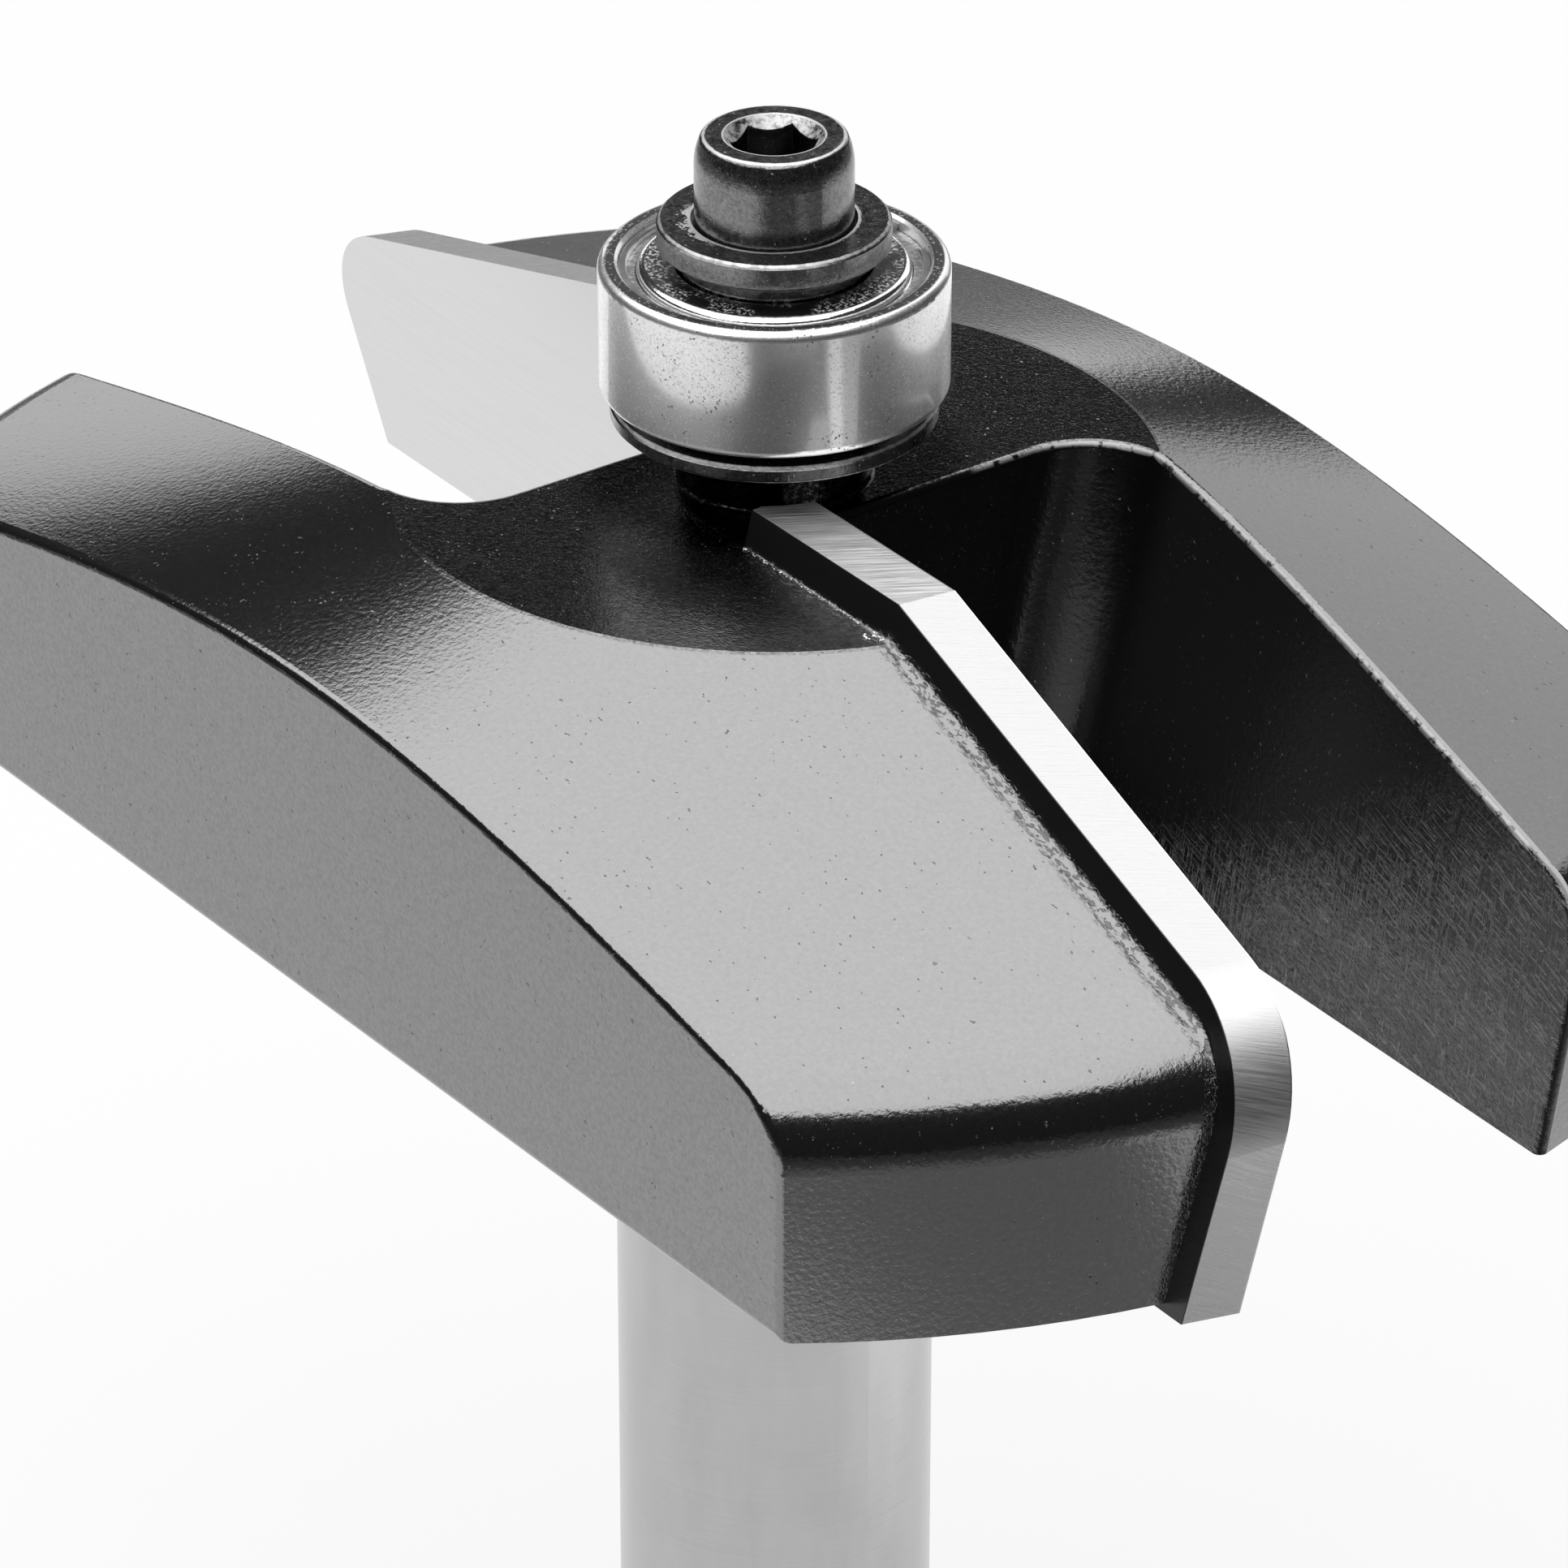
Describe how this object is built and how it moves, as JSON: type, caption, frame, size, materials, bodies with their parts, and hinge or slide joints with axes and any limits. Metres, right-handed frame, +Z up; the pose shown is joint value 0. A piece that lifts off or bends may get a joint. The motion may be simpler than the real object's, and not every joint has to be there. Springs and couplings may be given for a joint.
{
  "type": "router bit",
  "caption": "Panel-raising router bit: round shank, cutter head with leaning gullets and brazed carbide tips, and a shielded guide bearing under a washer and cap screw.",
  "frame": {"origin": "centre of the shank's end face", "axes": "+Z up the turning axis to the bearing and screw; +X along one wing, whose cutting face looks towards +Y; the cutter turns counter-clockwise seen from +Z"},
  "size_m": [0.0722, 0.0414, 0.0682],
  "materials": {
    "black_coat": "satin black coat on the head, ground bare steel on the shank",
    "carbide": "ground tungsten carbide",
    "braze": "silver braze, coated over on the head's faces",
    "black_oxide": "glossy black oxide with worn edges",
    "bearing_steel": "ground and polished",
    "shield_steel": "pressed sheet, satin",
    "spring_wire": "drawn wire",
    "cage_polymer": "moulded, plain"
  },
  "bodies": {
    "cutter": {"cutter_body": "black_coat", "carbide_tip_1": "carbide", "carbide_tip_2": "carbide", "braze_seam_1": "braze", "braze_seam_2": "braze", "lower_washer": "black_oxide", "bearing_inner_ring": "bearing_steel", "upper_washer": "black_oxide", "cap_screw": "black_oxide"},
    "outer_ring": {"bearing_outer_ring": "bearing_steel", "upper_shield": "shield_steel", "lower_shield": "shield_steel", "upper_snap_ring": "spring_wire", "lower_snap_ring": "spring_wire"},
    "cage": {"bearing_cage": "cage_polymer"},
    "ball_1": {"bearing_ball_1": "bearing_steel"},
    "ball_2": {"bearing_ball_2": "bearing_steel"},
    "ball_3": {"bearing_ball_3": "bearing_steel"},
    "ball_4": {"bearing_ball_4": "bearing_steel"},
    "ball_5": {"bearing_ball_5": "bearing_steel"},
    "ball_6": {"bearing_ball_6": "bearing_steel"},
    "ball_7": {"bearing_ball_7": "bearing_steel"}
  },
  "joints": [
    {"name": "ring_spin", "type": "hinge", "parent": "cutter", "child": "outer_ring", "pos_m": [0, 0, 0.06091], "axis": [0, 0, 1], "continuous": true},
    {"name": "cage_spin", "type": "hinge", "parent": "cutter", "child": "cage", "pos_m": [0, 0, 0.06091], "axis": [0, 0, 1], "continuous": true},
    {"name": "ball_1_roll", "type": "hinge", "parent": "cage", "child": "ball_1", "pos_m": [0.00437, 0, 0.06091], "axis": [0, 0, 1], "continuous": true},
    {"name": "ball_2_roll", "type": "hinge", "parent": "cage", "child": "ball_2", "pos_m": [0.00272, 0.00341, 0.06091], "axis": [0, 0, 1], "continuous": true},
    {"name": "ball_3_roll", "type": "hinge", "parent": "cage", "child": "ball_3", "pos_m": [-0.00097, 0.00426, 0.06091], "axis": [0, 0, 1], "continuous": true},
    {"name": "ball_4_roll", "type": "hinge", "parent": "cage", "child": "ball_4", "pos_m": [-0.00393, 0.00189, 0.06091], "axis": [0, 0, 1], "continuous": true},
    {"name": "ball_5_roll", "type": "hinge", "parent": "cage", "child": "ball_5", "pos_m": [-0.00393, -0.00189, 0.06091], "axis": [0, 0, 1], "continuous": true},
    {"name": "ball_6_roll", "type": "hinge", "parent": "cage", "child": "ball_6", "pos_m": [-0.00097, -0.00426, 0.06091], "axis": [0, 0, 1], "continuous": true},
    {"name": "ball_7_roll", "type": "hinge", "parent": "cage", "child": "ball_7", "pos_m": [0.00272, -0.00341, 0.06091], "axis": [0, 0, 1], "continuous": true}
  ],
  "couplings": [
    {"joint": "cage_spin", "follows": "ring_spin", "ratio": 0.63635},
    {"joint": "ball_1_roll", "follows": "ring_spin", "ratio": 1.6971},
    {"joint": "ball_2_roll", "follows": "ring_spin", "ratio": 1.6971},
    {"joint": "ball_3_roll", "follows": "ring_spin", "ratio": 1.6971},
    {"joint": "ball_4_roll", "follows": "ring_spin", "ratio": 1.6971},
    {"joint": "ball_5_roll", "follows": "ring_spin", "ratio": 1.6971},
    {"joint": "ball_6_roll", "follows": "ring_spin", "ratio": 1.6971},
    {"joint": "ball_7_roll", "follows": "ring_spin", "ratio": 1.6971}
  ]
}
